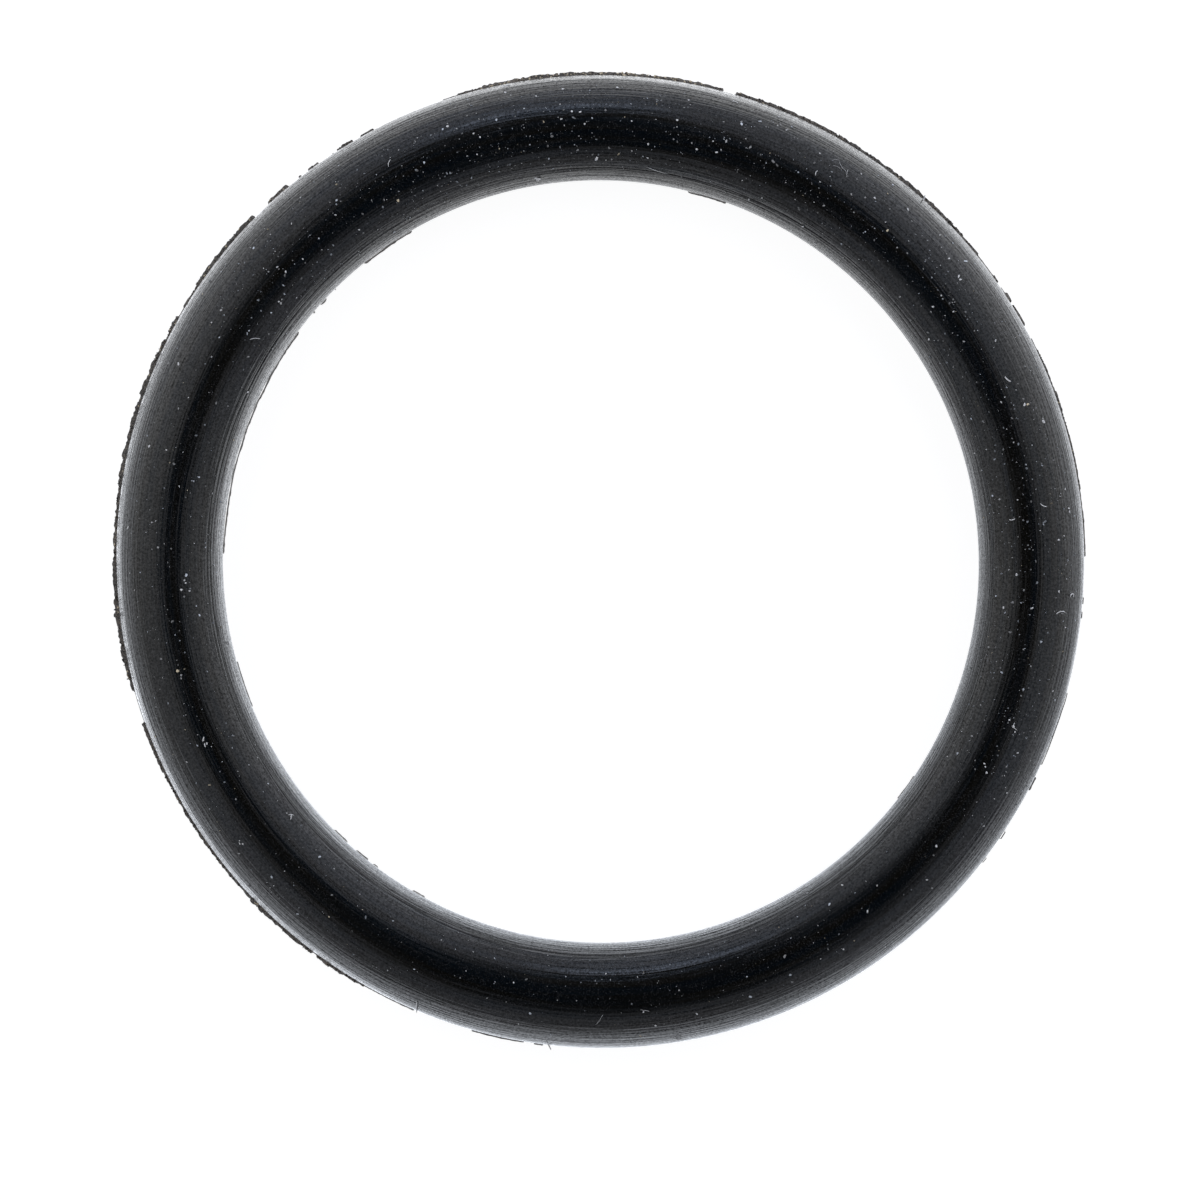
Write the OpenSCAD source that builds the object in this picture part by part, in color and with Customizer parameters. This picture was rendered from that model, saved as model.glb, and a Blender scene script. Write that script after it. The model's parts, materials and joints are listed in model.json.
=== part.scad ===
// Moulded rubber o-ring: a ring of round section with the two steep narrow lands that the lips of
// the mould leave beside its parting line, and with the torn fin of rubber that grew between them.
// Frame: the origin is the ring's centre, halfway through its thickness, and +Z is its axis.

/* [Ring] */
// Inside diameter, between the rounds of the section
bore_d = 18; // [6:0.1:80]
// Diameter of the round section
section_d = 2.5; // [1.6:0.1:5]

/* [Parting lands] */
// Height above the parting line at which the outer land starts
outer_land_h = 0.57; // [0.1:0.01:0.7]
// How far the foot of the outer land lies inside the round of the section
outer_land_in = 0.01; // [0.005:0.005:0.05]
// Height above the parting line at which the land in the bore starts
inner_land_h = 0.75; // [0.1:0.01:0.79]
// How far the foot of that land lies inside the round of the section
inner_land_in = 0.01; // [0.005:0.005:0.05]

/* [Moulding flash] */
// Thickness of the fin
fin_t = 0.06; // [0.03:0.01:0.12]
// Height of the low ridge left where the fin has torn off cleanly
ridge = 0.015; // [0.01:0.005:0.05]
// Longest reach of the fin past the foot of the outer land
outer_fin = 0.12; // [0.05:0.01:0.5]
// Longest reach of the fin past the foot of the land in the bore
inner_fin = 0.07; // [0.02:0.01:0.2]
// Share of its reach that the torn edge gains and loses
ragged = 0.3; // [0:0.05:0.8]
// Length of the fin over which a torn stretch runs out at each end
run_out = 0.08; // [0.02:0.01:0.3]

/* [Hidden] */

// Angles count from +X towards +Y, in degrees
// Step between the points of a torn edge
tear_step = 0.5;
// Lengths of the long and the short waves of a torn edge
long_wave = 4;
short_wave = 1;
// Share of the waves' height that the short ones have
short_share = 0.6;

// Part of the way round on which the outer land shows; elsewhere the section stays round there
outer_land_from = 0;
outer_land_to = 244;

// Stretches where the outer fin is left: from, to, share of the longest reach
outer_tears = [
    [0.5, 2, 0.35], [2.5, 4, 0.35], [4.5, 8, 0.4], [9, 18, 0.45], [18, 20.5, 0.5],
    [20.5, 23, 0.3], [23, 26, 0.45], [26, 27.5, 0.25], [29, 32, 0.55], [32, 33.5, 0.6],
    [35, 36, 0.55], [37, 38, 0.3], [39, 54, 0.6], [54, 74, 0.65], [75.5, 94.5, 0.7],
    [95, 102.5, 0.75], [102.5, 106, 0.5], [117.5, 119.5, 0.3], [120.5, 122.5, 0.45],
    [125.5, 127, 0.3], [129.5, 133, 0.65], [135, 145.5, 0.95], [145.5, 148.5, 0.55],
    [149.5, 160, 0.85], [160, 171, 0.8], [171, 180, 0.6], [180, 184.5, 0.75],
    [184.5, 186.5, 1], [186.5, 190.5, 0.7], [190.5, 194.5, 0.95], [194.5, 195.5, 0.5],
    [199.5, 207, 0.7], [207, 224, 0.55], [224, 226, 0.75], [226, 233.5, 0.6],
    [234.5, 238, 0.65], [238, 240.5, 0.45], [241, 247, 0.25], [254.5, 261, 0.45],
    [262, 263, 0.4], [321.5, 322.5, 0.65], [324, 326.5, 0.65], [327, 328.5, 0.5],
    [332, 333.5, 0.6], [335, 344.5, 0.65], [353, 354.5, 0.65], [354.5, 356, 0.6]
];
// The same for the fin in the bore
inner_tears = [
    [70.5, 77, 0.9], [119.5, 128.5, 1], [134, 135, 0.6], [136, 137.5, 0.7],
    [138.5, 139.5, 0.7], [142.5, 163, 1], [163.5, 169, 1], [170, 179, 1], [195, 203, 0.9],
    [225, 228, 0.7], [229.5, 232, 0.7], [233, 234, 0.6], [240, 242.5, 0.7], [321, 326, 0.8]
];

// Radii of the section and its centreline, and of the feet of the two lands at the parting line
section_r = section_d / 2;
mean_r = bore_d / 2 + section_r;
outer_foot_r = mean_r + section_r - outer_land_in;
inner_foot_r = mean_r - section_r + inner_land_in;

// A repeatable chance number from 0 to 1 for a whole number n
function chance(n) = let (x = sin(n * 12.9898) * 43758.5453) x - floor(x);

// Height from -1 to 1 at an angle, of smooth chance waves of one length that close round the ring
function wave(angle, length, seed) =
    let (n = floor(angle / length), f = angle / length - n, count = 360 / length,
         low = chance(n + seed), high = chance((n + 1) % count + seed))
    2 * (low + (high - low) * f * f * (3 - 2 * f)) - 1;

// Factor near 1 that roughens the reach of a fin at an angle
function torn(angle, seed) =
    1 + ragged * ((1 - short_share) * wave(angle, long_wave, seed)
                  + short_share * wave(angle, short_wave, seed + 500));

// Reach of the fin at an angle, as a share of its longest: each stretch runs out at its ends
function share(angle, tears, end) =
    max([0, for (t = tears) if (angle > t[0] && angle < t[1])
        t[2] * min(1, (angle - t[0]) / end, (t[1] - angle) / end)]);

// Closed outline round the ring, a fin's reach away from the foot of a land
module torn_outline(foot_r, reach, tears, side, seed) {
    end = run_out / (foot_r * PI / 180);
    polygon([for (angle = [0 : tear_step : 360 - tear_step])
        let (r = foot_r + side * (ridge + reach * share(angle, tears, end) * torn(angle, seed)))
        [r * cos(angle), r * sin(angle)]]);
}

// What a land takes off one side of the section: all that lies past the two straight lines which
// rise from its foot to the round, one above and one below the parting line
module land_cut(side, height, inset) {
    lip = sqrt(section_r * section_r - height * height);
    polygon([for (p = [[section_r - inset, 0], [lip, height], [section_d, height],
                       [section_d, -height], [lip, -height]])
        [mean_r + side * p[0], p[1]]]);
}

// The ring's body, a round section turned about the axis, with its two lands
module body() {
    difference() {
        rotate_extrude($fn = 240)
            difference() {
                translate([mean_r, 0]) circle(r = section_r, $fn = 96);
                land_cut(-1, inner_land_h, inner_land_in);
            }
        rotate([0, 0, outer_land_from])
            rotate_extrude(angle = outer_land_to - outer_land_from, $fn = 240)
                land_cut(1, outer_land_h, outer_land_in);
    }
}

// The sheet of rubber that filled the gap between the two halves of the mould
module flash() {
    linear_extrude(height = fin_t, center = true)
        difference() {
            torn_outline(outer_foot_r, outer_fin, outer_tears, 1, 10);
            torn_outline(inner_foot_r, inner_fin, inner_tears, -1, 2000);
        }
}

module o_ring() {
    color("#131313") {
        body();
        flash();
    }
}

o_ring();
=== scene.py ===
import json

import bmesh
import bpy
import numpy as np
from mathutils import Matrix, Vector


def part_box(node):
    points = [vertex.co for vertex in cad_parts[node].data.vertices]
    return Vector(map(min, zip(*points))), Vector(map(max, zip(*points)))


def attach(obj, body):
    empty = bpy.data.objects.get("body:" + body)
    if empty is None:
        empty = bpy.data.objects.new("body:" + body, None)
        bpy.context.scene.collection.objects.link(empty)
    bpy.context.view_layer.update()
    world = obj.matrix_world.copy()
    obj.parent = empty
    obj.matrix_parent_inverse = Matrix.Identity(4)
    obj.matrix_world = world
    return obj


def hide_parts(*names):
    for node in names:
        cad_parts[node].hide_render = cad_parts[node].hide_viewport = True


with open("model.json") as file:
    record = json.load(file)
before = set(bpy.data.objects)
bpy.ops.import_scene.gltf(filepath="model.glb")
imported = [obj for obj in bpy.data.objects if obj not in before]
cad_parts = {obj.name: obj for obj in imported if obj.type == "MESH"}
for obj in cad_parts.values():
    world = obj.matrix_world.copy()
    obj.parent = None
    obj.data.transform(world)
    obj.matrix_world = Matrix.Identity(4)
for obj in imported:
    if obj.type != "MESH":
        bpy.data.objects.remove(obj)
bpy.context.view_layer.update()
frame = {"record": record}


# Ring: one moulding of black nitrile rubber, round in section, cured between two turned steel
# plates. Their parting line runs round the outer and the inner edge, where the rubber keeps the
# narrow steep lands of the cavity's lips and the fine circles of the turning tool.
MM = 0.001
low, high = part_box("o_ring")
mounts = {mount["name"]: mount for mount in frame["record"]["mounts"]}
SECTION_R = (high.z - low.z) / 2
RING_R = mounts["bore_seat"]["dims"]["r_mm"] * MM + SECTION_R
# The relaxed ring lies a little inside the true circle, and OVAL out of round either way
SHRINK = 0.02 * MM
OVAL = 0.045 * MM
OVAL_LONG_AXIS = np.radians(106)
# The centreline's radius in the photograph, and the size of one of its pixels on the ring
PHOTO_RING_R = 432.2
PIXEL = (RING_R - SHRINK) / PHOTO_RING_R


def window(angle, first, last, soft):
    """1 from first to last in degrees and 0 outside, with ramps of length soft inside both ends."""
    past = (angle - first) % 360
    left = last - first - past
    return np.clip(np.minimum(past, left) / soft, 0, 1)


def centreline(turn):
    """Radius of the section's centre at an angle round the ring: a circle pressed slightly oval."""
    return RING_R - SHRINK + OVAL * np.cos(2 * (turn - OVAL_LONG_AXIS))


def around(turn, radius, height):
    """Points at an angle round the axis, a radius from it and a height, as one array of x, y, z."""
    return np.stack([radius * np.cos(turn), radius * np.sin(turn), height + 0 * radius], axis=-1)


def new_object(name, points, faces, smooth=True):
    """Object with a mesh of the given points and faces, linked to the scene."""
    mesh = bpy.data.meshes.new(name)
    mesh.from_pydata(points.reshape(-1, 3), [], faces)
    mesh.polygons.foreach_set("use_smooth", np.full(len(faces), smooth))
    mesh.update()
    made = bpy.data.objects.new(name, mesh)
    bpy.context.scene.collection.objects.link(made)
    return made


def closed_surface(name, points, shares):
    """Object with a surface that closes both round the ring and round its section.

    points has one row for each turn angle and one column for each place on the section. A face
    joins each point to the next in its row and column, and the last ones join the first again. The
    UV map holds the share of the way round the ring and, from shares, of the way round the section.
    """
    rows, columns = points.shape[:2]
    row, column = np.meshgrid(np.arange(rows), np.arange(columns), indexing="ij")
    next_row, next_column = (row + 1) % rows, (column + 1) % columns
    corner_rows = np.stack([row, next_row, next_row, row], axis=-1)
    corner_columns = np.stack([column, column, next_column, next_column], axis=-1)
    made = new_object(name, points, (corner_rows * columns + corner_columns).reshape(-1, 4))
    u = np.stack([row, row + 1, row + 1, row], axis=-1) / rows
    ends = np.append(shares, 1 + shares[0])
    v = np.stack([ends[column], ends[column], ends[column + 1], ends[column + 1]], axis=-1)
    uv = made.data.uv_layers.new(name="UVMap")
    uv.data.foreach_set("uv", np.stack([u, v], axis=-1).astype(np.float32).ravel())
    return made


# Lands in shares of the section's radius: how far out each lies at its lip, on the round, and at
# its foot, on the parting line, and the power of the curve between them
OUTER_LAND = (0.913, 1.000, 1.35)
INNER_LAND = (0.885, 1.000, 1.5)
# Where the outer land shows: first and last angle round the ring, and the length of its ends' fade
OUTER_LAND_SPAN = (-2, 246, 14)
# How much of the land in the bore shows everywhere, and where more of it does: first and last
# angle, length of the fade, and amount
INNER_LAND_LEAST = 0.15
INNER_LAND_SPANS = [(130, 260, 18, 0.85), (-35, 35, 20, 0.5)]
# The outer land's foot and lip wander: angle, and how much further out they lie, in photo pixels
OUTER_COURSE = np.array([
    (5, 0.8, 1.0), (17, 0.8, 0.9), (30, 1.2, 0.7), (43, 1.2, 0.2), (50, 0.9, -0.4), (68, 0.3, -1.5),
    (84, -0.1, 0.2), (98, -0.1, 0.3), (113, 0.8, 0.6), (131, 1.8, -0.4), (143, 2.1, 0),
    (156, 2.1, 0.2), (166, 1.8, 0.5), (188, 0.7, 0), (203, 0.3, 0), (217, 0.15, 0), (232, 0.15, 0),
    (340, 0.6, 0.6),
])
# Single grooves and ridges that the tool, or a scratch in the mould, left on the upper side: the
# angle round the section, depth in shares of its radius, which is below 0 for a ridge, width in
# degrees, and first and last angle round the ring. Each fades out over a share of its length
SINGLE_LINES = [(140.35, 0.008, 0.45, 25, 218), (101.5, -0.0013, 0.3, 160, 220),
                (113.2, -0.0012, 0.7, 258, 294)]
LINE_FADE = 0.12
TURN_STEPS = 1040
# Angles round the section from its outermost point over the top, closer together at the lands'
# lips and at the single lines
SECTION_ANGLES = np.array([
    0, 2, 5, 9, 13, 17, 20.5, 21.5, 22.5, 23.3, 24, 24.7, 25.5, 26.5, 27.5, 28.5, 31, 35, 40, 47,
    54, 61, 68, 75, 82, 89, 95, 100.5, 101.1, 101.5, 101.9, 102.5, 107, 111, 111.9, 112.6, 113.2,
    113.8, 114.5, 115.4, 120, 126, 131, 135.5, 139.3, 139.9, 140.35, 140.8, 141.4, 143, 146, 149,
    150.3, 151.6, 155, 160, 165, 170, 175, 180, 185, 190, 195, 200, 205, 208.4, 209.7, 211, 214,
    218, 223, 230, 238, 246, 254, 262, 270, 278, 286, 294, 302, 310, 318, 325, 330, 333, 335, 337,
    339.5, 345, 351, 356,
])


def with_land(out, height, land, lip_shift, foot_shift, amount):
    """Moves a section's outline onto a land. Below the height of its lip the outline lies at the
    foot, less the way from foot to lip times a power of the share of the lip's height."""
    lip_out, foot_out, power = land
    lip_out, foot_out = lip_out + lip_shift, foot_out + foot_shift
    lip_height = np.sqrt(1 - lip_out ** 2)
    flat = foot_out - (foot_out - lip_out) * (np.abs(height) / lip_height) ** power
    return out + amount * (flat - out) * (np.abs(height) < lip_height)


def course(degrees, column):
    """How much further out the outer land's foot (column 1) or lip (column 2) lies than usual, in
    shares of the section's radius: straight lines between the rows of OUTER_COURSE."""
    pixels = np.interp(degrees % 360, OUTER_COURSE[:, 0], OUTER_COURSE[:, column], period=360)
    return pixels * PIXEL / SECTION_R


def ring_points(turn, angle):
    """The ring's skin: at each turn angle the unit circle with the single lines as bell curves,
    exp(-x^2), moved onto the lands, enlarged to the section's radius and carried round the oval."""
    degrees = np.degrees(turn)
    size = 1 + 0 * (turn + angle)
    for place, depth, width, first, last in SINGLE_LINES:
        line = np.exp(-((np.degrees(angle) - place) / width) ** 2)
        size = size - depth * window(degrees, first, last, LINE_FADE * (last - first)) * line
    out, height = size * np.cos(angle), size * np.sin(angle)
    outer_amount = window(degrees, *OUTER_LAND_SPAN)
    inner_amount = INNER_LAND_LEAST
    for first, last, fade, amount in INNER_LAND_SPANS:
        inner_amount = inner_amount + amount * window(degrees, first, last, fade)
    outer = with_land(out, height, OUTER_LAND, course(degrees, 2), course(degrees, 1), outer_amount)
    out = np.where(out > 0, outer, -with_land(-out, height, INNER_LAND, 0, 0, inner_amount))
    return around(turn, centreline(turn) + SECTION_R * out, SECTION_R * height)


turn = np.linspace(0, 2 * np.pi, TURN_STEPS, endpoint=False)[:, None]
body = closed_surface("ring_body", ring_points(turn, np.radians(SECTION_ANGLES)[None, :]),
                      SECTION_ANGLES / 360)


def group(name, inputs, outputs):
    """Empty shader node group with float inputs and their start values, and float outputs."""
    made = bpy.data.node_groups.new(name, "ShaderNodeTree")
    for socket, start in inputs.items():
        item = made.interface.new_socket(socket, in_out="INPUT", socket_type="NodeSocketFloat")
        item.default_value = start
    for socket in outputs:
        made.interface.new_socket(socket, in_out="OUTPUT", socket_type="NodeSocketFloat")
    return made, made.nodes.new("NodeGroupInput").outputs, made.nodes.new("NodeGroupOutput").inputs


def add(tree, kind, links=(), **settings):
    """Adds a node, sets its properties, and joins or fills its inputs given as (input, value)."""
    node = tree.nodes.new(kind)
    for key, value in settings.items():
        setattr(node, key, value)
    for key, value in links:
        if isinstance(value, bpy.types.NodeSocket):
            tree.links.new(value, node.inputs[key])
        else:
            node.inputs[key].default_value = value
    return node


def calculate(tree, operation, *values):
    """Output of a Math node with the given inputs."""
    return add(tree, "ShaderNodeMath", enumerate(values), operation=operation).outputs[0]


def mixed(tree, share, first, second):
    """Output of a colour Mix node."""
    return add(tree, "ShaderNodeMix", [(0, share), (6, first), (7, second)],
               data_type="RGBA").outputs[2]


def material(name, **values):
    """Material with a Principled BSDF whose plain sockets are set here."""
    made = bpy.data.materials.new(name)
    made.use_nodes = True
    shader = made.node_tree.nodes["Principled BSDF"]
    for socket, value in values.items():
        shader.inputs[socket.replace("_", " ")].default_value = value
    return made, made.node_tree, shader


def mould_lines():
    """Group: fine circles round the ring. The UV map's first share is bent into a circle, so that
    the noise closes, and its second is stretched, so that the noise becomes lines. They are
    strongest near the parting line, and Middle gives their strength on the top."""
    made, given, result = group(
        "mould_lines", {"Lines": 120, "Run": 3.5, "Middle": 0.4}, ["Height"])
    uv = add(made, "ShaderNodeTexCoord").outputs["UV"]
    shares = add(made, "ShaderNodeSeparateXYZ", [(0, uv)])
    turned = calculate(made, "MULTIPLY", shares.outputs[0], 2 * np.pi)
    x = calculate(made, "MULTIPLY", calculate(made, "COSINE", turned), given["Run"])
    y = calculate(made, "MULTIPLY", calculate(made, "SINE", turned), given["Run"])
    z = calculate(made, "MULTIPLY", shares.outputs[1], given["Lines"])
    place = add(made, "ShaderNodeCombineXYZ", [(0, x), (1, y), (2, z)])
    noise = add(made, "ShaderNodeTexNoise",
                [("Vector", place.outputs[0]), ("Scale", 1.0), ("Detail", 2.0), ("Roughness", 0.5)])
    side = calculate(made, "ABSOLUTE", calculate(
        made, "COSINE", calculate(made, "MULTIPLY", shares.outputs[1], 2 * np.pi)))
    strength = add(made, "ShaderNodeMapRange", [
        ("Value", side), ("From Min", 0.5), ("From Max", 0.95), ("To Min", given["Middle"]),
        ("To Max", 1.9)])
    made.links.new(calculate(made, "MULTIPLY", noise.outputs[0], strength.outputs[0]),
                   result["Height"])
    return made


def skin_grain():
    """Group: the grain of the skin as a height, the finest dust on it as a mask, in clouds, and the
    patchy film of oil that blooms out of the rubber, which shines a little more where it is
    thicker."""
    made, given, result = group(
        "skin_grain", {"Grain": 18000, "Cover": 0.5}, ["Height", "Dust", "Film"])
    place = add(made, "ShaderNodeTexCoord").outputs["Object"]
    grain = add(made, "ShaderNodeTexNoise", [
        ("Vector", place), ("Scale", given["Grain"]), ("Detail", 2.0), ("Roughness", 0.6)])
    fine = add(made, "ShaderNodeTexNoise", [
        ("Vector", place), ("Scale", 26000.0), ("Detail", 3.0), ("Roughness", 0.7)])
    film = add(made, "ShaderNodeMapRange", [
        ("Value", add(made, "ShaderNodeTexNoise", [
            ("Vector", place), ("Scale", 19000.0), ("Detail", 1.0)]).outputs[0]),
        ("From Min", 0.32), ("From Max", 0.68)])
    cloud = add(made, "ShaderNodeTexNoise", [("Vector", place), ("Scale", 700.0), ("Detail", 3.0)])
    edge = calculate(made, "SUBTRACT", 0.62, calculate(
        made, "MULTIPLY", calculate(made, "MULTIPLY", cloud.outputs[0], given["Cover"]), 0.3))
    mask = add(made, "ShaderNodeMapRange", [
        ("Value", fine.outputs[0]), ("From Min", edge),
        ("From Max", calculate(made, "ADD", edge, 0.16))])
    made.links.new(grain.outputs[0], result["Height"])
    made.links.new(mask.outputs[0], result["Dust"])
    made.links.new(film.outputs[0], result["Film"])
    return made


LINES, GRAIN = mould_lines(), skin_grain()


def black_rubber():
    """Smooth black rubber under a patchy film of oil: broad and fine turning lines and grain raise
    it, the broad lines tint it from bluish to brownish black, and fine dust pales it."""
    made, tree, shader = material("black_rubber", IOR=1.38, Coat_IOR=1.5, Coat_Roughness=0.17)
    fine = add(tree, "ShaderNodeGroup", node_tree=LINES).outputs["Height"]
    broad = add(tree, "ShaderNodeGroup", [("Lines", 45.0), ("Run", 1.6), ("Middle", 1.0)],
                node_tree=LINES).outputs["Height"]
    grain = add(tree, "ShaderNodeGroup", node_tree=GRAIN)
    tree.links.new(calculate(tree, "MULTIPLY", grain.outputs["Film"], 0.75),
                   shader.inputs["Coat Weight"])
    streak = add(tree, "ShaderNodeMapRange", [
        ("Value", broad), ("From Min", 0.38), ("From Max", 0.62)])
    clean = mixed(tree, streak.outputs[0],
                  (0.0022, 0.0042, 0.0064, 1), (0.0052, 0.0048, 0.0038, 1))
    base = mixed(tree, grain.outputs["Dust"], clean, (0.038, 0.038, 0.039, 1))
    tree.links.new(base, shader.inputs["Base Color"])
    rough = add(tree, "ShaderNodeMapRange", [
        ("Value", grain.outputs["Height"]), ("From Min", 0.3), ("From Max", 0.7),
        ("To Min", 0.15), ("To Max", 0.22)])
    tree.links.new(rough.outputs[0], shader.inputs["Roughness"])
    # Heights in mm: the fine lines, the grain and the broad lines
    height = calculate(tree, "ADD", calculate(tree, "MULTIPLY", fine, 0.042),
                       calculate(tree, "MULTIPLY", grain.outputs["Height"], 0.007))
    height = calculate(tree, "ADD", height, calculate(tree, "MULTIPLY", broad, 0.006))
    bump = add(tree, "ShaderNodeBump", [("Height", height), ("Strength", 1.0), ("Distance", MM)])
    tree.links.new(bump.outputs[0], shader.inputs["Normal"])
    return made


body.data.materials.append(black_rubber())
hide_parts("o_ring")
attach(body, "root")


# Fin: the thin sheet of rubber that was squeezed between the mould's halves and torn off, all that
# is left of it outside, one rough ribbon rooted in the parting line. Where the sheet came away
# cleanly the ribbon lies sunk in the body, and loose strands stand a little off it.
FIN_HALF = 0.026 * MM
FIN_STEPS = 3600
# How far the ribbon's root lies inside the land's foot, how far its tip lies past the reach of a
# torn stretch, and how far inside the foot it lies where less than LEAST_REACH is left
ROOT_DEPTH = 3.5 * PIXEL
TIP_PAST = 0.5 * PIXEL
TIP_SUNK = 2.5 * PIXEL
LEAST_REACH = 0.3 * PIXEL
OUTER_DROOP = 0.25 * MM
# Length in degrees over which a stretch runs out at its ends
OUTER_END = 0.2
# Stretches as first and last angle round the ring, and reach past the land's foot in photo pixels
OUTER_TEARS = [
    (0.5, 2, 0.7), (2, 4.7, 0.6), (4.7, 6, 0.9), (6, 8.6, 0.6), (8.6, 18, 1.3), (18, 20.5, 2),
    (20.5, 23, 1.2), (23, 25.8, 1.5), (25.8, 27.5, 0.8), (29, 32, 1.7), (32.2, 33.5, 2.4),
    (33.5, 34.5, 0.7), (35, 36, 1.8), (36, 39.2, 0.9), (39.2, 42, 1.9), (42, 54, 2.9),
    (54, 74, 3.0), (75.3, 78.5, 2.8), (78.5, 94.8, 2.9), (94.8, 95.1, 0.9), (95.1, 101, 3.3),
    (101, 104, 2.7), (104, 107, 1.8), (107, 109, 0.8), (117.6, 119.6, 1.3), (120.4, 121.2, 1.7),
    (121.2, 122, 2.4), (122, 122.8, 1.6), (123, 123.6, 0.6), (125.2, 126.9, 1.8),
    (127.7, 128.3, 1.2), (129.7, 131.3, 3.2), (131.3, 133, 2.4), (135, 145.6, 3.7),
    (145.6, 148.6, 2), (148.6, 150, 0.8), (150, 152, 3.3), (152, 153, 1.6), (153, 160, 3.9),
    (160, 161, 2.6), (161, 171, 3.7), (171, 180, 2.8), (180, 184.5, 3.6), (184.5, 186.5, 4.8),
    (186.5, 190.5, 3.6), (190.5, 194, 4.6), (194, 195.4, 2.2), (195.4, 199.5, 0.4),
    (199.5, 207, 3.0), (207, 224, 2.5), (224, 226, 3.5), (226, 233.5, 2.8), (233.5, 234.3, 0.7),
    (234.3, 238, 3), (238, 240.7, 2), (240.7, 247.5, 0.8), (254.5, 261, 0.9), (262, 263.3, 0.9),
    (331.8, 333.7, 0.9),
]
# Loose strands as first and last angle, and in photo pixels the distance of their middle past the
# section and their width
LOOSE_STRANDS = [(321.5, 322.7, 0.9, 0.7), (325, 326.5, 1.2, 1.0), (335, 344.5, 0.6, 0.8),
                 (353, 354.3, 0.4, 0.9), (354.7, 356, 0.4, 0.8)]
LOOSE_END = 0.3


def wander(angle, count, seed):
    """Chance numbers from -1 to 1, count of them round the ring, joined by 3t^2 - 2t^3 curves."""
    knots = np.random.default_rng(seed).uniform(-1, 1, count)
    place = (angle % 360) / 360 * count
    before = np.floor(place).astype(int)
    share = place - before
    rise = share * share * (3 - 2 * share)
    return knots[before % count] * (1 - rise) + knots[(before + 1) % count] * rise


def torn_reach(angle, tears, soft):
    """Largest reach at an angle among the stretches. Each runs out in a straight line over soft
    degrees at its ends, and where one starts at the end of another, it does so past the joint."""
    starts, ends = [row[0] for row in tears], [row[1] for row in tears]
    reach = np.zeros_like(angle)
    for first, last, pixels in tears:
        before, after = soft * (first in ends), soft * (last in starts)
        left = window(angle, first - before, last + after, soft)
        reach = np.maximum(reach, pixels * PIXEL * left)
    return reach


def ribbon(name, angle, near, far, thickness, droop, side):
    """Closed ribbon round the ring between two distances from the centreline, to one side of it. It
    hangs under the parting line, by a quarter of droop at its root and by all of it at its tip.

    Its section has ten points on a rounded oblong, (|cos|^0.5, |sin|^0.7) with their signs.
    """
    place = np.radians(np.arange(0, 360, 36) + 9)[None, :]
    across = np.sign(np.cos(place)) * np.abs(np.cos(place)) ** 0.5
    up = np.sign(np.sin(place)) * np.abs(np.sin(place)) ** 0.7
    turn = np.radians(angle)[:, None]
    middle, half = (near + far)[:, None] / 2, (far - near)[:, None] / 2
    points = around(turn, centreline(turn) + side * middle + half * across,
                    thickness[:, None] * up - droop[:, None] * (0.625 + 0.375 * side * across))
    return closed_surface(name, points, np.arange(10) / 10)


def torn_rubber():
    """Dull brown-black crumbling rubber with pale crumbs pressed into it."""
    made, tree, shader = material("torn_rubber", IOR=1.5, Roughness=0.6)
    grain = add(tree, "ShaderNodeGroup", [("Grain", 22000), ("Cover", 1.0)], node_tree=GRAIN)
    base = mixed(tree, grain.outputs["Dust"], (0.014, 0.011, 0.010, 1), (0.17, 0.14, 0.11, 1))
    tree.links.new(base, shader.inputs["Base Color"])
    bump = add(tree, "ShaderNodeBump", [
        ("Height", grain.outputs["Height"]), ("Strength", 1.0), ("Distance", 0.03 * MM)])
    tree.links.new(bump.outputs[0], shader.inputs["Normal"])
    return made


TORN_RUBBER = torn_rubber()
angle = np.linspace(0, 360, FIN_STEPS, endpoint=False)
# The torn edge is rough in long, middling and short waves
ragged = (1 + 0.10 * wander(angle, 90, 1) + 0.14 * wander(angle, 400, 2)
          + 0.24 * wander(angle, 1100, 3))
foot = SECTION_R * (1 + course(angle, 1))
reach = torn_reach(angle, OUTER_TEARS, OUTER_END) * ragged
far = foot + reach + np.where(reach < LEAST_REACH, -TIP_SUNK, TIP_PAST)
near = foot - ROOT_DEPTH
loose = np.zeros(FIN_STEPS)
for first, last, middle, width in LOOSE_STRANDS:
    share = window(angle, first, last, LOOSE_END)
    middle = SECTION_R + (middle + 0.25 * wander(angle, 300, 4)) * PIXEL
    near = near + share * (middle - width * PIXEL / 2 - near)
    far = far + share * (middle + width * PIXEL / 2 - far)
    loose = loose + share
lumpy = FIN_HALF * (1 - 0.4 * loose) * (
    1 + 0.25 * wander(angle, 500, 5) + 0.2 * wander(angle, 1300, 6))
droop = OUTER_DROOP * (1 - loose) * (1 + 0.2 * wander(angle, 60, 9))
outer_fin = ribbon("outer_fin", angle, near, far, lumpy, droop, 1)
outer_fin.data.materials.append(TORN_RUBBER)
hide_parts("o_ring")
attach(outer_fin, "root")


# Bore fin: what is left of the same sheet on the inside, thin strands that stand a hair's breadth
# off the body and join it at both ends.
INNER_DROOP = 0.16 * MM
# How far inside the body the strands lie where nothing is left, in photo pixels
STRAND_SUNK = 3.0
# Stretches as first and last angle round the ring, and width in photo pixels
INNER_TEARS = [
    (70.5, 77, 1), (119.6, 128.6, 1.3), (134, 134.6, 1), (136, 137.7, 1), (138.6, 139.4, 1),
    (142.6, 163, 1.3), (163, 169.4, 1.1), (169.4, 179, 1.3), (195, 203, 0.6), (225, 228.2, 0.9),
    (229.5, 232.3, 0.9), (232.8, 234.2, 0.8), (240, 242.6, 0.8), (321, 326, 0.5),
]
INNER_END = 0.5
# Part of the way round where the strands stand further off the body
FURTHER_OFF = (142, 180, 4)


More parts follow.
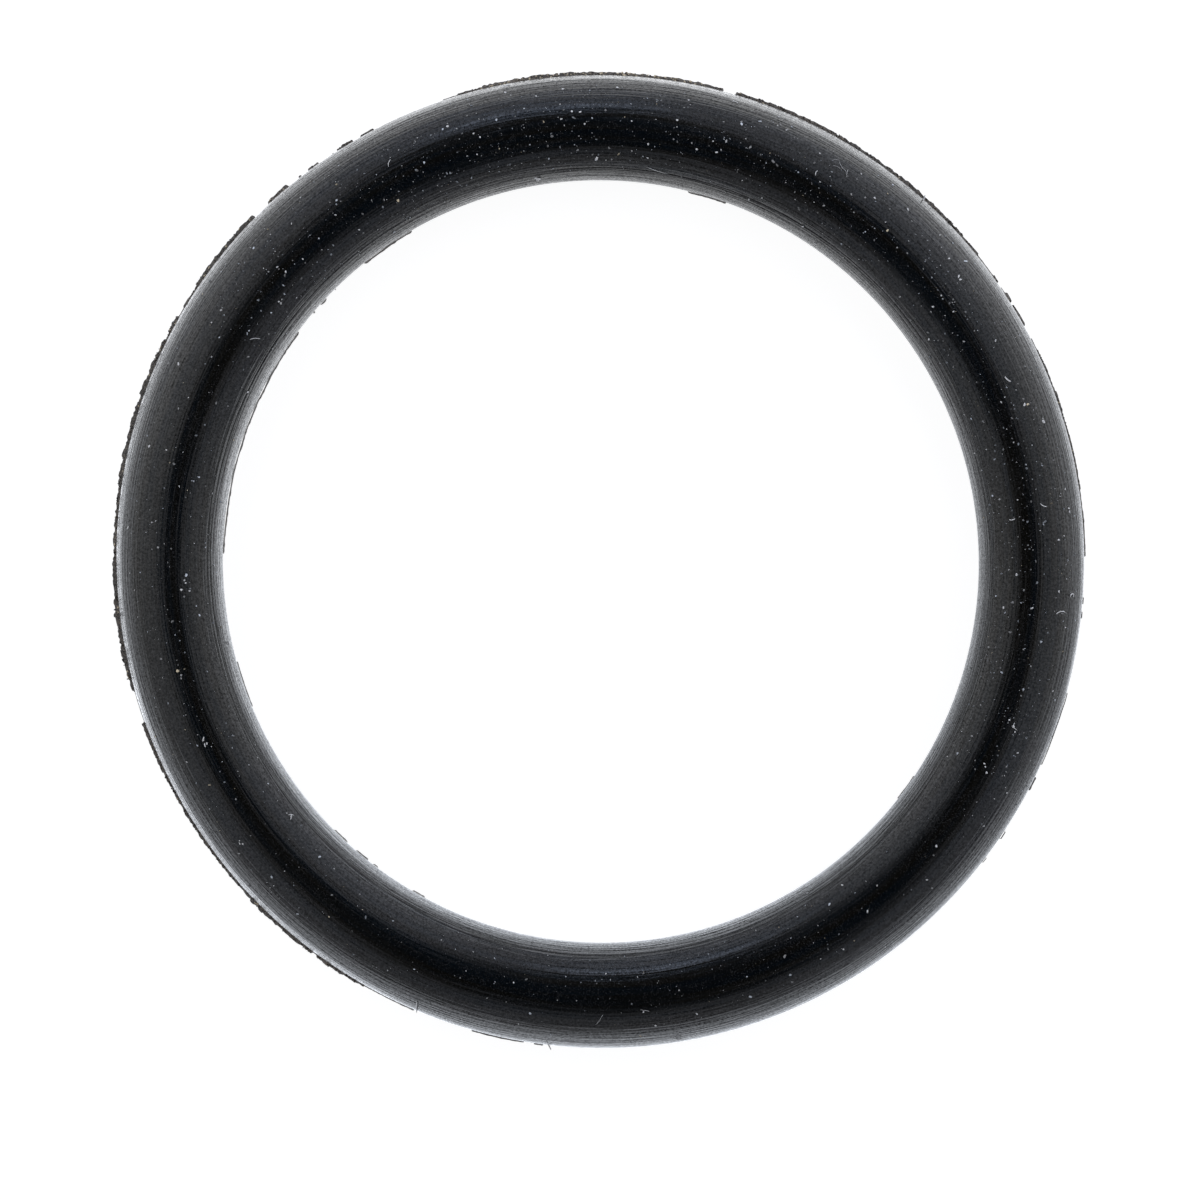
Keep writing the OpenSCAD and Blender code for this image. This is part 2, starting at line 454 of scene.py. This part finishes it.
def smooth_step(low, high, value):
    """0 below low, 1 above high, and 3t^2 - 2t^3 of the share t between them."""
    share = np.clip((value - low) / (high - low), 0, 1)
    return share * share * (3 - 2 * share)


standing = torn_reach(angle, INNER_TEARS, INNER_END) / PIXEL
stands = smooth_step(0, 0.6, standing)
apart = window(angle, *FURTHER_OFF)
gap = 0.1 + 0.2 * wander(angle, 160, 7) * (1 + apart) + 0.2 * apart
near = SECTION_R + (stands * (gap + STRAND_SUNK) - STRAND_SUNK) * PIXEL
far = near + (0.3 + standing * (1 + 0.3 * wander(angle, 700, 8))) * PIXEL
inner_fin = ribbon("inner_fin", angle, near, far, 0.6 * lumpy, INNER_DROOP * stands, -1)
inner_fin.data.materials.append(TORN_RUBBER)
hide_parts("o_ring")
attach(inner_fin, "root")


# Dust: some 3000 grains of lint dust and mould powder that cling to the rubber, most of them on the
# upper side at the back and on the right, each a flattened lump of 20 faces.
def skin_frame(turn, angle):
    """Points of the skin, and its unit directions along the ring, over the section and outwards:
    the differences of points a small step to each side, and their cross product."""
    step = 1e-4
    along = ring_points(turn + step, angle) - ring_points(turn - step, angle)
    over = ring_points(turn, angle + step) - ring_points(turn, angle - step)
    directions = [way / np.linalg.norm(way, axis=-1, keepdims=True)
                  for way in (along, over, np.cross(along, over))]
    return ring_points(turn, angle), directions


def lumps(name, place, directions, size, tone, seed):
    """One mesh of a 20-sided lump at each place, as wide as size.

    A lump is an icosahedron whose corners stand 0.5 to 1.35 of its radius out. It is turned by
    chance about the outward direction, stretched 1 to 1.8 along one side and halved in height.
    """
    chance = np.random.default_rng(seed)
    count = len(size)
    shape = bmesh.new()
    bmesh.ops.create_icosphere(shape, subdivisions=1, radius=0.5)
    corners = np.array([corner.co for corner in shape.verts])
    sides = np.array([[corner.index for corner in side.verts] for side in shape.faces])
    shape.free()
    points_each = len(corners)
    out_to = chance.uniform(0.5, 1.35, (count, points_each, 1))
    spread = corners[None] * out_to * size[:, None, None]
    wide = chance.uniform(1, 1.8, count)
    spread = spread * np.stack([wide, np.ones(count), np.full(count, 0.5)], axis=-1)[:, None, :]
    spin = chance.uniform(0, 2 * np.pi, count)[:, None]
    along, over, out = directions
    first = np.cos(spin) * along + np.sin(spin) * over
    second = np.cos(spin) * over - np.sin(spin) * along
    axes = np.stack([first, second, out], axis=1)
    points = place[:, None, :] + np.einsum("nca,nax->ncx", spread, axes)
    faces = (sides[None] + points_each * np.arange(count)[:, None, None]).reshape(-1, 3)
    made = new_object(name, points, faces, smooth=False)
    colour = made.data.color_attributes.new("tone", "FLOAT_COLOR", "POINT")
    shown = np.repeat(np.concatenate([tone, np.ones((count, 1))], axis=1), points_each, axis=0)
    colour.data.foreach_set("color", shown.astype(np.float32).ravel())
    return made


def pale_dust():
    """Dull dust and fibres that take their colour from the attribute tone."""
    made, tree, shader = material("pale_dust", Roughness=0.9)
    tone = add(tree, "ShaderNodeAttribute", attribute_name="tone").outputs["Color"]
    tree.links.new(tone, shader.inputs["Base Color"])
    return made


PALE_DUST = pale_dust()
GREY = np.array([1, 1, 1])
BLUISH = np.array([0.92, 0.98, 1.06])
TAN = np.array([1.0, 0.86, 0.62])
# Grains on each twelfth of the ring, from +X towards +Y
DUST_COUNTS = [370, 330, 340, 460, 320, 165, 190, 140, 90, 125, 110, 360]
TWELFTH = 30
# How far across the ring they lie, from -1 inside to 1 outside, and the share on the upper side
DUST_ACROSS = 0.93
UPPER_SHARE = 0.85
chance = np.random.default_rng(20)
count = sum(DUST_COUNTS)
twelfth_start = np.repeat(np.arange(0, 360, TWELFTH), DUST_COUNTS)
dust_turn = np.radians(twelfth_start + chance.uniform(0, TWELFTH, count))
dust_across = chance.uniform(-DUST_ACROSS, DUST_ACROSS, count)
dust_angle = np.arccos(dust_across) * np.where(chance.random(count) < UPPER_SHARE, 1, -1)
dust_size = np.minimum(0.45 + 0.55 * chance.exponential(1, count), 2.4) * PIXEL
brightness = (0.18 + 0.72 * chance.random(count) ** 2)[:, None]
tan, bluish = chance.random((count, 1)) < 0.06, chance.random((count, 1)) < 0.4
tints = np.where(tan, TAN, np.where(bluish, BLUISH, GREY))
place, directions = skin_frame(dust_turn, dust_angle)
dust = lumps("dust", place, directions, dust_size, brightness * tints, 21)
dust.data.materials.append(PALE_DUST)
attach(dust, "root")


# Flakes: the larger grains and flakes of dust and grit that lie loose on the rubber, put where the
# photograph shows them.
FLAKE_BRIGHTNESS = 0.88
# Angle round the ring, place across it from -1 inside to 1 outside, width in photo pixels and tint
FLAKES = [
    (6.0, 0.76, 2.4, GREY), (6.5, 0.75, 2.0, GREY), (17.5, 0.62, 3.0, GREY),
    (17.9, 0.63, 1.8, GREY), (20.2, 0.44, 2.6, TAN), (20.3, 0.38, 2.4, GREY),
    (37.5, -0.26, 2.3, GREY), (38.1, 0.47, 2.2, GREY), (38.5, 0.48, 2.4, GREY),
    (39.5, 0.77, 3.0, BLUISH), (49.1, 0.10, 2.2, TAN), (56.1, 0.65, 1.9, GREY),
    (58.9, -0.79, 2.2, GREY), (72.1, 0.48, 3.2, BLUISH), (74.2, -0.17, 2.2, GREY),
    (76.9, -0.21, 2.3, GREY), (80.2, 0.25, 2.3, GREY), (83.5, -0.28, 2.2, GREY),
    (88.0, 0.75, 2.2, GREY), (90.6, -0.60, 3.2, GREY), (92.1, 0.05, 2.1, GREY),
    (92.6, 0.28, 1.8, GREY), (93.7, 0.30, 2.1, GREY), (95.1, 0.45, 1.8, GREY),
    (95.1, 0.17, 2.2, GREY), (99.6, 0.46, 1.7, BLUISH), (105.9, 0.11, 2.7, GREY),
    (106.9, -0.19, 1.9, GREY), (110.1, 0.47, 2.3, BLUISH), (113.9, 0.02, 2.1, BLUISH),
    (119.3, -0.40, 3.4, TAN), (126.1, -0.46, 2.1, GREY), (134.6, -0.19, 1.9, GREY),
    (137.4, -0.12, 2.2, GREY), (139.0, -0.26, 1.8, BLUISH), (141.1, -0.38, 2.2, GREY),
    (154.4, -0.78, 2.0, GREY), (165.7, 0.64, 2.4, GREY), (181.9, -0.32, 3.0, BLUISH),
    (183.0, -0.30, 1.6, GREY), (194.5, 0.11, 2.8, TAN), (192.3, -0.96, 2.6, GREY),
    (161.7, -0.86, 1.8, TAN), (204.2, 0.08, 1.8, GREY), (219.4, -0.58, 1.6, GREY),
    (258.3, -0.08, 2.0, GREY), (270.7, -0.43, 1.9, GREY), (276.7, 0.61, 2.2, GREY),
    (275.4, 0.33, 2.0, GREY), (302.0, 0.43, 2.0, GREY), (307.3, 0.10, 2.0, GREY),
    (319.7, 0.11, 2.1, GREY), (344.0, 0.72, 2.4, GREY), (351.9, 0.71, 2.2, GREY),
    (353.8, 0.03, 2.2, GREY), (356.2, 0.52, 2.2, GREY), (358.2, -0.30, 2.5, GREY),
    (99.3, -0.90, 5.2, 1.1 * GREY), (99.6, -0.87, 3, 1.1 * GREY), (101.5, 0.83, 2.4, 1.1 * GREY),
    (97.9, 0.66, 2.2, GREY), (94.6, 0.74, 2.2, GREY), (48.9, 0.66, 2.0, GREY),
    (41.0, 0.56, 2.4, GREY), (53.0, 0.42, 2.0, GREY), (56.0, -0.93, 3.0, GREY),
    (338.2, 0.22, 2.2, GREY), (337.6, 0.28, 1.6, GREY), (338.8, 0.10, 1.8, GREY),
    (331.3, 0.12, 2.2, GREY), (331.9, 0.05, 1.8, GREY), (332.2, 0.00, 1.6, GREY),
    (218.0, 0.50, 1.6, GREY), (218.3, 0.46, 1.6, GREY), (217.7, 0.47, 1.4, GREY),
]
flake_place, directions = skin_frame(np.radians([row[0] for row in FLAKES]),
                                     np.arccos([row[1] for row in FLAKES]))
flakes = lumps("flakes", flake_place, directions, np.array([row[2] for row in FLAKES]) * PIXEL,
               np.array([FLAKE_BRIGHTNESS * row[3] for row in FLAKES]), 31)
flakes.data.materials.append(PALE_DUST)
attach(flakes, "root")


# Crumbs: torn bits of rubber and pale grit caught on the rough fin, most of them cream and brown
# where the fin is thickest, at the back.
BROWN = np.array([1.0, 0.80, 0.62])
CRUMB_TRIES = 2600
# Length in degrees over which the crumbs come closer at a stretch's ends, and the least reach that
# holds any
CRUMB_END = 0.25
LEAST_HOLD = 0.9 * PIXEL
# Patches with more cream crumbs: first and last angle round the ring, and length of the fade
BACK_PATCH = (74, 107, 5)
LEFT_PATCH = (134, 146, 2)
FRONT_PATCH = (223, 227, 1)
chance = np.random.default_rng(40)
crumb_angle = chance.uniform(0, 360, CRUMB_TRIES)
crumb_reach = torn_reach(crumb_angle, OUTER_TEARS, CRUMB_END)
kept = crumb_reach > LEAST_HOLD
crumb_angle, crumb_reach = crumb_angle[kept], crumb_reach[kept]
count = len(crumb_angle)
crumb_turn = np.radians(crumb_angle)
past_foot = crumb_reach * chance.uniform(0.05, 1.1, count)
crumb_r = centreline(crumb_turn) + np.interp(crumb_angle, angle, foot) + past_foot
# Each crumb hangs as low as the fin does at its place, and lies on one of the fin's lumps
hang = 0.25 + 0.75 * (past_foot + ROOT_DEPTH) / (crumb_reach + ROOT_DEPTH + TIP_PAST)
lifted = np.interp(crumb_angle, angle, lumpy) * chance.uniform(0.95, 1.2, count)
crumb_height = lifted - hang * np.interp(crumb_angle, angle, droop)
place = around(crumb_turn, crumb_r, crumb_height)
flat = around(crumb_turn, np.ones(count), 0)
sideways = np.stack([-flat[:, 1], flat[:, 0], 0 * crumb_r], axis=1)
upright = np.tile([0.0, 0.0, 1.0], (count, 1))
back, left, front = (window(crumb_angle, *patch)
                     for patch in (BACK_PATCH, LEFT_PATCH, FRONT_PATCH))
cream = chance.random(count) < 0.03 + 0.32 * back + 0.10 * left + 0.15 * front
brown = BROWN * (chance.uniform(0.01, 0.09, count) + 0.03 * back)[:, None]
tone = np.where(cream[:, None], TAN * chance.uniform(0.4, 0.95, count)[:, None], brown)
crumbs = lumps("crumbs", place, [sideways, flat, upright],
               (chance.uniform(0.7, 1.7, count) + 0.6 * cream) * PIXEL, tone, 41)
crumbs.data.materials.append(PALE_DUST)
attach(crumbs, "root")


# Lint: single textile fibres, most of them lying bent on the skin and a few standing out past the
# edge, each a six-sided tube that tapers at its ends.
FIBRE_POINTS = 14
FIBRE_SIDES = 6
# Angle round the ring, place across it from -1 inside to 1 outside, heading in degrees from along
# the ring, length in photo pixels, bend in degrees, and thickness in photo pixels
LINT = [
    (7.2, 0.27, 125, 8, -70, 0.8), (5.8, -0.34, 90, 6.5, -70, 0.9), (355.9, 0.76, 80, 9, 230, 1.2),
    (353.7, 0.58, 75, 13, 80, 0.9), (24.1, 0.26, -30, 8, 60, 1.3),
    (147.2, -0.42, 57, 12, -50, 0.6), (204.1, 0.07, 35, 5, 0, 1.0), (204.9, 0.09, 10, 4, 0, 0.9),
    (73.7, 0.84, 5, 6, 0, 0.9), (101.3, 0.94, -35, 9, 0, 1.1), (219.5, -0.57, 50, 7, 30, 0.9),
    (219.3, -0.59, 130, 6, -20, 0.9), (275.6, 0.30, 15, 9, 20, 0.3),
    (269.8, 0.45, 120, 14, 10, 0.25), (279.3, 0.93, 8, 6, 0, 1.0), (81.8, -0.74, 12, 26, 10, 0.4),
    (61.0, 0.20, 80, 6, 90, 0.7), (118.0, 0.30, 130, 8, 60, 0.6), (338.0, 0.25, 100, 6, 40, 0.5),
    (338.4, 0.20, 20, 5, -40, 0.5), (58.5, 0.55, 25, 13, 60, 0.3), (59.6, 0.60, -30, 9, -50, 0.25),
    (57.6, 0.50, 70, 9, 40, 0.3), (59.0, 0.50, -5, 10, -30, 0.25),
]
# Whiskers past the edge: angle and distance from the axis in photo pixels, at the start and end
WHISKERS = [(247.3, 476, 247.8, 487.5), (263.5, 482, 264.2, 491), (281.2, 480, 281.8, 487),
            (48.2, 484, 48.5, 489.5), (278.5, 482, 280, 483.5)]
WHISKER_LIFT = 1.5 * PIXEL
# A direction that no fibre runs in, which the tubes' sides are squared to
STEEP = [0.13, 0.21, 0.97]


def fibres(name, paths, thickness, tone):
    """One mesh of a closed tube along each path.

    Its radius is half its thickness times (1 - (2t - 1)^6)^0.5 plus a tenth, t being the share of
    the way along, and its rings stand square to the path.
    """
    count, length = paths.shape[:2]
    ahead = np.gradient(paths, axis=1)
    ahead = ahead / np.linalg.norm(ahead, axis=-1, keepdims=True)
    side = np.cross(ahead, STEEP)
    side = side / np.linalg.norm(side, axis=-1, keepdims=True)
    across = np.cross(side, ahead)
    share = np.linspace(0, 1, length)
    radius = thickness[:, None] / 2 * ((1 - (2 * share - 1) ** 6) ** 0.5 + 0.1)
    place = np.radians(np.arange(FIBRE_SIDES) * 360 / FIBRE_SIDES)
    ring = np.cos(place)[:, None] * side[:, :, None] + np.sin(place)[:, None] * across[:, :, None]
    points = paths[:, :, None] + radius[:, :, None, None] * ring
    fibre, along, corner = np.meshgrid(np.arange(count), np.arange(length - 1),
                                       np.arange(FIBRE_SIDES), indexing="ij")
    start, turned = (fibre * length + along) * FIBRE_SIDES, (corner + 1) % FIBRE_SIDES
    end = start + FIBRE_SIDES
    walls = np.stack([start + corner, end + corner, end + turned, start + turned], axis=-1)
    first = np.arange(count)[:, None] * length * FIBRE_SIDES + np.arange(FIBRE_SIDES)
    last = first + (length - 1) * FIBRE_SIDES
    faces = walls.reshape(-1, 4).tolist() + first.tolist() + last[:, ::-1].tolist()
    made = new_object(name, points, faces)
    colour = made.data.color_attributes.new("tone", "FLOAT_COLOR", "POINT")
    shown = np.append(tone, 1.0) * np.ones((count * length * FIBRE_SIDES, 4))
    colour.data.foreach_set("color", shown.astype(np.float32).ravel())
    return made


at_angle, at_place, middle_heading, length, bend, thickness = np.array(LINT).T[..., None]
share = np.linspace(-0.5, 0.5, FIBRE_POINTS)
heading = np.radians(middle_heading + bend * share)
step = length * PIXEL / (FIBRE_POINTS - 1)
along = np.cumsum(np.cos(heading) * step, axis=1)
over = np.cumsum(np.sin(heading) * step, axis=1)
fibre_turn = np.radians(at_angle) + (along - along.mean(axis=1, keepdims=True)) / RING_R
fibre_angle = np.arccos(at_place) - (over - over.mean(axis=1, keepdims=True)) / SECTION_R
on_skin, (_, _, outward) = skin_frame(fibre_turn, fibre_angle)
# A fibre rests on the skin at its ends and arches a little off it between them
lift = (0.45 * thickness + 0.8 * (1 - (2 * share) ** 2)) * PIXEL
lying = on_skin + lift[..., None] * outward
# A whisker follows the round of the section to the edge, and stands out past it
start_angle, start_r, end_angle, end_r = np.array(WHISKERS).T[..., None]
share = np.linspace(0, 1, FIBRE_POINTS)
whisker_turn = np.radians(start_angle + (end_angle - start_angle) * share)
whisker_r = (start_r + (end_r - start_r) * share) * PIXEL
whisker_out = np.clip((whisker_r - RING_R) / SECTION_R, -1, 1)
whisker_height = SECTION_R * np.sqrt(1 - whisker_out ** 2) + WHISKER_LIFT
paths = np.concatenate([lying, around(whisker_turn, whisker_r, whisker_height)])
thickness = np.append(thickness, np.ones(len(WHISKERS))) * PIXEL
fibre_mesh = fibres("lint", paths, thickness, 0.85 * GREY)
fibre_mesh.data.materials.append(PALE_DUST)
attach(fibre_mesh, "root")


# Studio: the ring lies on a white sheet in a tent of white paper, with a soft box behind it on the
# left and one on the right, a strip of light between them, and a dark opening for the camera. The
# sheet also glows in the ring's mirror alone, a painted reflection.
SHEET_R = 0.8
SHEET_ALBEDO = 0.4
SHEET_GLOW = 0.9
# Distances of the sheet's rings of points in mm, closer together at its edge that glows brighter in
# the ring's mirror
SHEET_RINGS = [1, 3, 5, 7, 9, 10, 11.3, 11.6, 11.9, 12.2, 12.5, 13, 16, 25, 60, 200]
# Where that edge glows more in the ring's mirror, past the fin, a painted highlight on the land's
# foot: first and last azimuth, and added radiance
EDGE_GLOW_PAST_FIN = [(36, 108, 0.2), (128, 200, 0.9), (192, 248, 0.6), (334, 368, 0.6)]
TENT_R = 0.13
# Share of its radius by which the tent stands further out on the right, and less far on the left
TENT_LEAN = 0.3


def lit_object(name, points, faces, light):
    """Object of the studio with its radiance as the colour attribute light."""
    made = new_object(name, points, faces)
    shown = made.data.color_attributes.new("light", "FLOAT_COLOR", "POINT")
    colour = np.concatenate([light.reshape(-1, 3), np.ones((light.size // 3, 1))], axis=1)
    shown.data.foreach_set("color", colour.astype(np.float32).ravel())
    return made


def disc_faces(rows, columns):
    """Faces of a disc or dome of rows azimuths and columns distances, with one over its middle."""
    row, column = np.meshgrid(np.arange(rows), np.arange(columns - 1), indexing="ij")
    start, turned = row * columns + column, (row + 1) % rows * columns + column
    walls = np.stack([start, start + 1, turned + 1, turned], axis=-1)
    return walls.reshape(-1, 4).tolist() + [(np.arange(rows) * columns).tolist()]


def sheet_mirror_glow(azimuth, distance):
    """Radiance with which the sheet glows in the ring's mirror only, a painted reflection, with
    3t^2 - 2t^3 steps along the distance.

    Inside the bore it is darker in the middle, and brighter in front and on the left. Outside it is
    brighter in front and at the back, and darker on the right in front. A narrow ring next to the
    rubber's outer edge glows more, on the left and past the fin above all: a painted highlight on
    the land's foot, where the ring would shade the sheet.
    """
    inside = (1.0 + 0.55 * window(azimuth, 120, 325, 30)) * (
        0.6 + 0.4 * smooth_step(2 * MM, 7.5 * MM, distance))
    outside = (0.9 + 0.47 * np.sin(np.radians(azimuth)) ** 2 + 0.2 * window(azimuth, 0, 95, 30)
               - 0.25 * window(azimuth, 318, 362, 20))
    share = smooth_step(9 * MM, 11.5 * MM, distance)
    level = (1 - share) * inside + share * outside
    # Painted highlight: a narrow ring of the sheet at the rubber's outer edge, where the ring would
    # shade it, glows brighter in the ring's mirror and lights the land's foot there
    painted_edge_glow = 0.4 + 0.6 * window(azimuth, 110, 215, 25)
    for first, last, more in EDGE_GLOW_PAST_FIN:
        painted_edge_glow = painted_edge_glow + more * window(azimuth, first, last, 8)
    level = level + painted_edge_glow * smooth_step(11.3 * MM, 11.6 * MM, distance) * (
        1 - smooth_step(11.9 * MM, 12.4 * MM, distance))
    cold = 0.65 - 0.35 * np.sin(np.radians(azimuth))
    return level[..., None] * (1 + cold[..., None] * np.array([-0.05, 0, 0.08]))


def floor_sheet():
    """White sheet under the ring. A camera sees it at about strength 1, less the ring's shadow.
    Glossy and transmission rays see it glow with its light attribute, a painted reflection that
    lights nothing.
    """
    azimuth, distance = np.meshgrid(
        np.arange(0, 360, 7.5), np.append(MM * np.array(SHEET_RINGS), SHEET_R), indexing="ij")
    points = around(np.radians(azimuth), distance, low.z)
    sheet = lit_object("white_sheet", points, disc_faces(*azimuth.shape),
                       sheet_mirror_glow(azimuth, distance))
    made, tree, shader = material("white_paper_and_mirror_glow")
    tree.nodes.remove(shader)
    rays = add(tree, "ShaderNodeLightPath")
    seen = calculate(tree, "MULTIPLY", rays.outputs["Is Camera Ray"], SHEET_GLOW)
    # Only glossy and transmission rays see the glow of the light attribute: a painted reflection on
    # the rubber
    mirrored = calculate(tree, "MAXIMUM", rays.outputs["Is Glossy Ray"],
                         rays.outputs["Is Transmission Ray"])
    light = add(tree, "ShaderNodeAttribute", attribute_name="light").outputs["Color"]
    shown = mixed(tree, mirrored, (1, 1, 1, 1), light)
    glow = add(tree, "ShaderNodeEmission", [
        ("Color", shown), ("Strength", calculate(tree, "MAXIMUM", seen, mirrored))])
    paper = add(tree, "ShaderNodeBsdfDiffuse", [("Color", (SHEET_ALBEDO,) * 3 + (1,))])
    both = add(tree, "ShaderNodeAddShader", [(0, glow.outputs[0]), (1, paper.outputs[0])])
    clear = add(tree, "ShaderNodeBsdfTransparent")
    back = add(tree, "ShaderNodeNewGeometry").outputs["Backfacing"]
    out = add(tree, "ShaderNodeMixShader", [(0, back), (1, both.outputs[0]), (2, clear.outputs[0])])
    tree.links.new(out.outputs[0], tree.nodes["Material Output"].inputs["Surface"])
    made.cycles.emission_sampling = "NONE"
    sheet.data.materials.append(made)
    return sheet


# The tent's light at some azimuths: the angle from straight up where the dark opening ends, the
# radiance below it, the radiance near the horizon, and how cold the light is
TENT_PLAN = np.array([
    (0, 22, 0.67, 1.12, 0.2), (20, 19, 0.77, 1.50, 0.3), (45, 17, 0.82, 1.55, 0.8),
    (62, 20, 0.80, 1.30, 0.9), (75, 33, 0.57, 0.85, 0.9), (90, 46, 0.62, 0.85, 1.0),
    (106, 45, 0.62, 0.85, 1.0), (120, 36, 0.62, 0.98, 0.9), (135, 24, 0.80, 1.25, 0.5),
    (150, 21, 0.85, 1.40, 0.3), (165, 22, 0.82, 1.20, 0.2), (180, 24, 0.70, 0.84, 0.1),
    (200, 28, 0.62, 0.60, 0.4), (225, 36, 0.56, 0.58, 0.6), (245, 44, 0.42, 0.48, 0.7),
    (280, 46, 0.42, 0.52, 0.6), (305, 41, 0.46, 0.60, 0.9), (330, 29, 0.53, 0.55, 0.9),
    (345, 25, 0.62, 0.72, 0.4),
])
# The strip of light at the back: first and last azimuth and length of the fade, the angles from
# straight up at which it begins, is full, begins to fade and ends, its radiance at its brightest
# azimuth and the loss for each degree away from there, and its bluish colour
STRIP_SPAN = (81, 114, 5)
STRIP_POLAR = (48, 50, 52, 57)
STRIP_BRIGHTEST, STRIP_LEVEL, STRIP_LOSS = 92, 2.7, 0.02
STRIP_COLOUR = np.array([0.82, 1, 1.35])


def tent_light(azimuth, polar):
    """Radiance of the tent at an azimuth and an angle from straight up, both in degrees: the plan's
    levels, joined by straight lines round the tent and by 3t^2 - 2t^3 steps from top to bottom, and
    on top of them the strip of light, with such steps at its edges."""
    edge, middle, horizon, cold = (
        np.interp(azimuth, TENT_PLAN[:, 0], column, period=360) for column in TENT_PLAN.T[1:])
    # The dark opening's edge is softer where it reaches far down, but not behind the strip
    soft = 6 + 10 * smooth_step(26, 42, edge) * (1 - 0.75 * window(azimuth, 68, 117, 6))
    level = middle * (0.65 + 0.35 * smooth_step(edge, 52, polar)) * smooth_step(
        edge - soft, edge + soft, polar)
    level = level + (horizon - middle) * smooth_step(56, 76, polar)
    level = level + (1.2 - level) * smooth_step(84, 90, polar)
    begins, full, fades, ends = STRIP_POLAR
    strip = window(azimuth, *STRIP_SPAN) * smooth_step(begins, full, polar) * (
        1 - smooth_step(fades, ends, polar))
    strip = (STRIP_LEVEL - STRIP_LOSS * np.abs(azimuth - STRIP_BRIGHTEST)) * strip
    return level[..., None] * (1 + cold[..., None] * np.array([-0.05, 0, 0.14])) + (
        strip[..., None] * STRIP_COLOUR)


def tent():
    """Paper dome that gives the light: a half sphere whose colour attribute is its radiance."""
    azimuth, polar = np.meshgrid(np.arange(0, 360, 3), np.arange(1.5, 91, 1.5), indexing="ij")
    points = around(np.radians(azimuth), np.sin(np.radians(polar)), np.cos(np.radians(polar)))
    points = points * (TENT_R * (1 + TENT_LEAN * np.cos(np.radians(azimuth))))[..., None]
    dome = lit_object("paper_tent", points, disc_faces(*azimuth.shape), tent_light(azimuth, polar))
    made, tree, shader = material("lit_paper")
    tree.nodes.remove(shader)
    glow = add(tree, "ShaderNodeEmission", [
        ("Color", add(tree, "ShaderNodeAttribute", attribute_name="light").outputs["Color"]),
        ("Strength", 1.0)])
    tree.links.new(glow.outputs[0], tree.nodes["Material Output"].inputs["Surface"])
    # The paper is found by the light's own paths, so Cycles needn't aim at it
    made.cycles.emission_sampling = "NONE"
    dome.data.materials.append(made)
    dome.visible_camera = False
    return dome


floor_sheet()
tent()

# Past the sheet a camera sees a white room
world = bpy.data.worlds.new("white_room")
world.use_nodes = True
world.node_tree.nodes["Background"].inputs["Color"].default_value = (1, 1, 1, 1)
world.node_tree.nodes["Background"].inputs["Strength"].default_value = 1.0
world.cycles.sampling_method = "NONE"
bpy.context.scene.world = world
bpy.context.scene.view_settings.view_transform = "Standard"

# Camera: straight above, placed so that the ring's centre falls on its place in the photograph,
# a square of 1200 pixels
PHOTO_SIDE = 1200
PHOTO_CENTRE_X, PHOTO_CENTRE_Y = 600.8, 561.5
CAMERA_HEIGHT = 0.42
camera = bpy.data.cameras.new("camera")
camera.sensor_width = 36
camera.lens = camera.sensor_width * CAMERA_HEIGHT / (PHOTO_SIDE * PIXEL)
camera.clip_start, camera.clip_end = 0.01, 10
viewer = bpy.data.objects.new("camera", camera)
viewer.location = ((PHOTO_SIDE / 2 - PHOTO_CENTRE_X) * PIXEL,
                   (PHOTO_CENTRE_Y - PHOTO_SIDE / 2) * PIXEL, CAMERA_HEIGHT)
bpy.context.scene.collection.objects.link(viewer)
bpy.context.scene.camera = viewer
